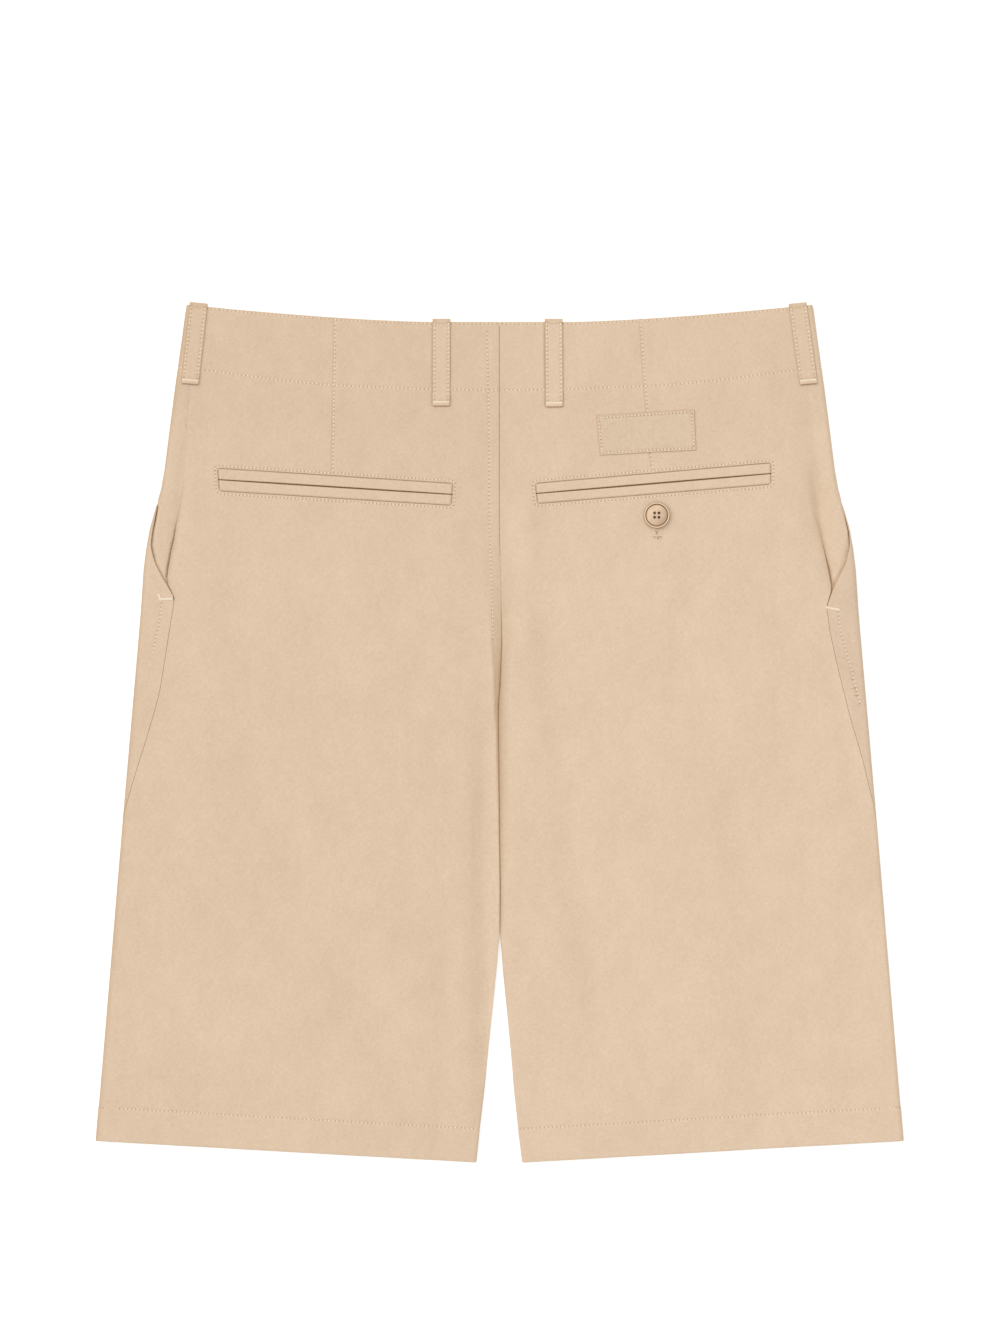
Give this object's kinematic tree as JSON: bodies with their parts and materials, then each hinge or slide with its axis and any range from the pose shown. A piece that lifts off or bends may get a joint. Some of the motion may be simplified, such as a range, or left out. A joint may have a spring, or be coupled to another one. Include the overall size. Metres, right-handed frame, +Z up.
{
  "type": "bermuda shorts",
  "caption": "Men's cotton bermuda shorts laid flat, back side up, with welt back pockets, slanted side pockets, belt loops, a bare patch and a pocket button.",
  "frame": {"origin": "middle of the garment's outline, on the table it lies on", "axes": "+Y towards the waist, +X towards the wearer's right side, which is to the right seen from the back, +Z up from the table, out of the garment's back"},
  "size_m": [0.524, 0.5579, 0.0091],
  "materials": {
    "shell_cloth": "beige cotton gabardine, matt with a slight sheen",
    "pocket_cloth": "the same cloth inside the pockets, matt",
    "patch_cloth": "bare patch of the same cloth, matt",
    "button": "horn-coloured resin, polished to a soft gloss"
  },
  "bodies": {
    "root": {"back_left": "shell_cloth", "back_right": "shell_cloth", "front_left": "shell_cloth", "front_right": "shell_cloth", "side_pocket_facing_left": "pocket_cloth", "side_pocket_facing_right": "pocket_cloth", "welt_left_upper": "shell_cloth", "welt_left_lower": "shell_cloth", "welt_right_upper": "shell_cloth", "welt_right_lower": "shell_cloth", "pocket_bearer_left": "pocket_cloth", "pocket_bearer_right": "pocket_cloth", "loop_back_left": "shell_cloth", "loop_back_right": "shell_cloth", "loop_side_left": "shell_cloth", "loop_side_right": "shell_cloth", "loop_front_left": "shell_cloth", "loop_front_right": "shell_cloth", "label_patch": "patch_cloth", "button": "button"}
  },
  "joints": []
}
